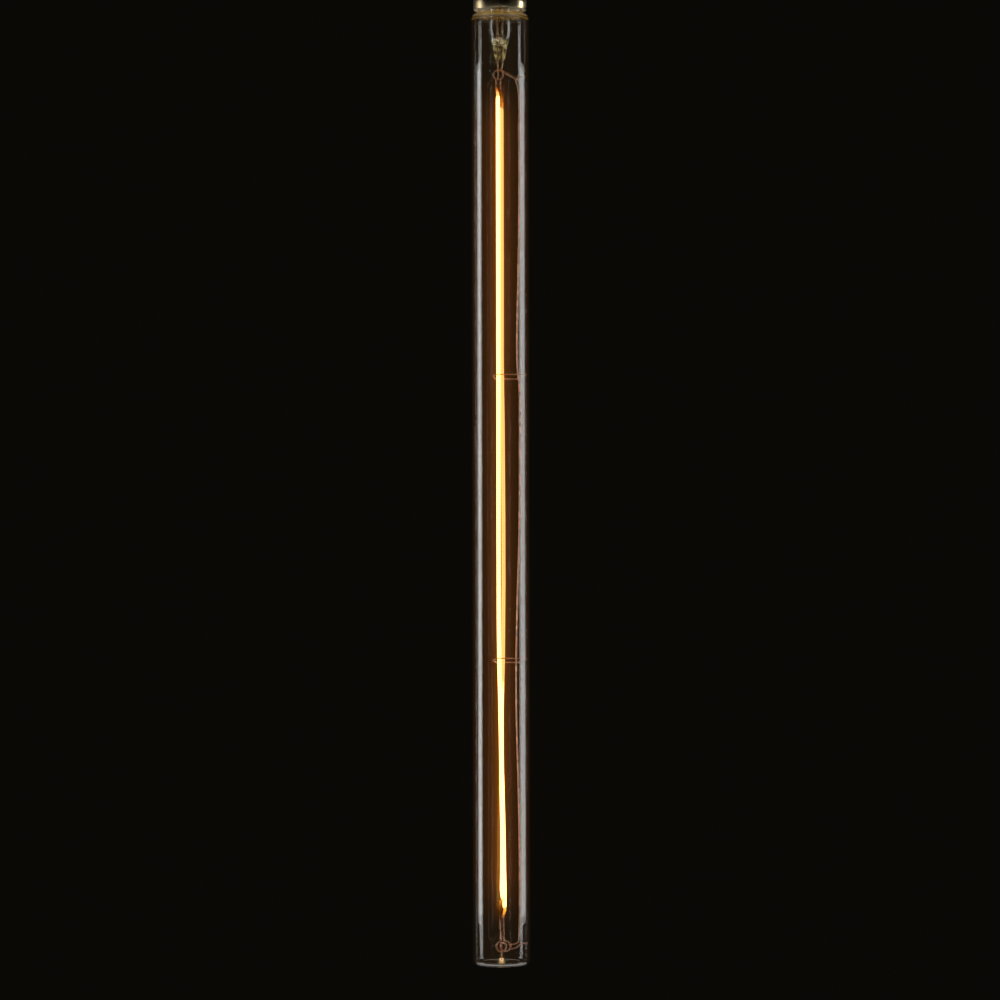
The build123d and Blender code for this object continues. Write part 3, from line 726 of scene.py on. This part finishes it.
# The rest of the cap: turned forms from the middle of the underside out and over to the top
turnedForms = (
    {"name": "capInsulator", "node": "cap_insulator", "sides": 96, "smooth": 35, "material": capGlass,
     "outline": (
         (0.8, -8.25), (9.75, -8.25), (9.75, -6.9), (8.9, -6.3), (7.9, -5.4), (7.2, -4.5), (6.5, -3.4),
         (5.9, -2.4), (5.7, -1.95), (5.55, -1.9), (0.8, -1.9))},
    {"name": "centreContact", "node": "centre_contact", "sides": 64, "smooth": 35, "material": contactMetal,
     "outline": (
         (0.5, -1.9), (4.7, -1.9), (4.8, -1.8), (4.8, -1.35), (4.68, -1.1), (4.4, -0.94), (4.0, -0.9),
         (0.5, -0.9))},
    {"name": "contactSolder", "node": "contact_solder", "sides": 48, "smooth": 60, "material": solderMetal,
     "outline": (
         (2.2, -0.9), (2.0, -0.72), (1.75, -0.48), (1.35, -0.24), (0.85, -0.08), (0.35, -0.01), (0.05, 0))})

capShell()
for turned in turnedForms:
    form = pullForm(turned["name"], turned["sides"], turnedStations(turned["outline"]))
    smoothUnder(form, turned["smooth"])
    finishPiece(form, turned["material"], turned["node"])
print("cap done")

# Solids that keep their own shape get their finish here. A tab has its root's and its end's height, and the
# bright and deep colours of the light painted along it.
tabs = (
    {"node": "tab_front_upper", "root": -70.4, "end": -66.2, "bright": (1.6, 0.9, 0.25),
     "deep": (0.9, 0.22, 0.02)},
    {"node": "tab_back_upper", "root": -76.0, "end": -66.2, "bright": (0.55, 0.16, 0.01),
     "deep": (0.16, 0.03, 0)},
    {"node": "tab_front_lower", "root": -468.1, "end": -474.0, "bright": (0.7, 0.25, 0.02),
     "deep": (0.12, 0.02, 0)},
    {"node": "tab_back_lower", "root": -472.5, "end": -477.6, "bright": (1.2, 0.62, 0.06),
     "deep": (0.9, 0.3, 0.05)})
finishes = {tab["node"]: tabFinish(tab) for tab in tabs}
finishes |= {
    "cap_cement": cementFinish, "foot_pin": frameWire, "driver_board": boardFinish,
    "bridge_rectifier": blockFinish, "driver_chip": blockFinish, "smoothing_capacitor": canFinish,
    "fuse_resistor": fuseFinish, "feed_wire": leadWire, "shell_wire": leadWire}
for name, material in finishes.items():
    nodes[name].data.materials.clear()
    nodes[name].data.materials.append(material)
print("finishes done:", len(finishes))


# Studio: pale floor below the lamp, backdrop tone in the world, a tall soft lamp at each side
studio = {
    "floorHeight": -1.5, "floorRadius": 2.3, "backdrop": (0.0034, 0.0028, 0.0020), "level": 0.24,
    "lampAside": 0.95, "lampMiddle": -0.271, "lampTall": 0.675,
    "lamps": (
        {"name": "softLampLeft", "side": -1, "depth": 0.175, "wide": 0.33, "power": 1.85},
        {"name": "softLampRight", "side": 1, "depth": 0.255, "wide": 0.41, "power": 2.2})}

# The camera, glass and metal see the backdrop's tone. Everything else gets the world's light.
world = bpy.data.worlds.new("studio")
bpy.context.scene.world = world
world.use_nodes = True
tree = world.node_tree
light = tree.nodes["Background"]
light.inputs["Color"].default_value = (1, 1, 1, 1)
light.inputs["Strength"].default_value = studio["level"]
tone = addNode(tree, "ShaderNodeBackground")
tone.inputs["Color"].default_value = (*studio["backdrop"], 1)
rays = addNode(tree, "ShaderNodeLightPath")
seen = rays.outputs["Is Camera Ray"]
for label in ("Is Glossy Ray", "Is Transmission Ray"):
    seen = calculate(tree, "MAXIMUM", seen, rays.outputs[label])
choose = addNode(tree, "ShaderNodeMixShader")
tree.links.new(seen, choose.inputs[0])
tree.links.new(light.outputs[0], choose.inputs[1])
tree.links.new(tone.outputs[0], choose.inputs[2])
tree.links.new(choose.outputs[0], tree.nodes["World Output"].inputs["Surface"])

deselectAll()
bpy.ops.mesh.primitive_circle_add(
    vertices=128, radius=studio["floorRadius"], fill_type="NGON", location=(0, 0, studio["floorHeight"]))
floor = bpy.context.object
floor.name = "floor"
material, tree, shader = newMaterial("floorPaint")
shader.inputs["Base Color"].default_value = (0.78, 0.77, 0.75, 1)
shader.inputs["Roughness"].default_value = 0.8
floor.data.materials.append(material)

for soft in studio["lamps"]:
    side = soft["side"]
    bpy.ops.object.light_add(
        type="AREA", location=(side * studio["lampAside"], soft["depth"], studio["lampMiddle"]))
    lamp = bpy.context.object
    lamp.name = soft["name"]
    lamp.rotation_euler = (math.radians(90), 0, math.radians(side * 90))
    lamp.data.shape = "RECTANGLE"
    lamp.data.size = soft["wide"]
    lamp.data.size_y = studio["lampTall"]
    lamp.data.energy = soft["power"]

# Camera: level with the middle of the tube, as in the photograph
view = {
    "away": 1.84, "height": -0.2705, "aside": -0.0004, "roll": 0.0018, "seenWidth": 0.494, "sensor": 36,
    "near": 0.05}
bpy.ops.object.camera_add(
    location=(view["aside"], -view["away"], view["height"]), rotation=(math.radians(90), view["roll"], 0))
camera = bpy.context.object
camera.data.sensor_width = view["sensor"]
camera.data.lens = view["sensor"] * view["away"] / view["seenWidth"]
camera.data.clip_start = view["near"]
bpy.context.scene.camera = camera
bpy.context.scene.view_settings.view_transform = "Standard"
print("studio done")
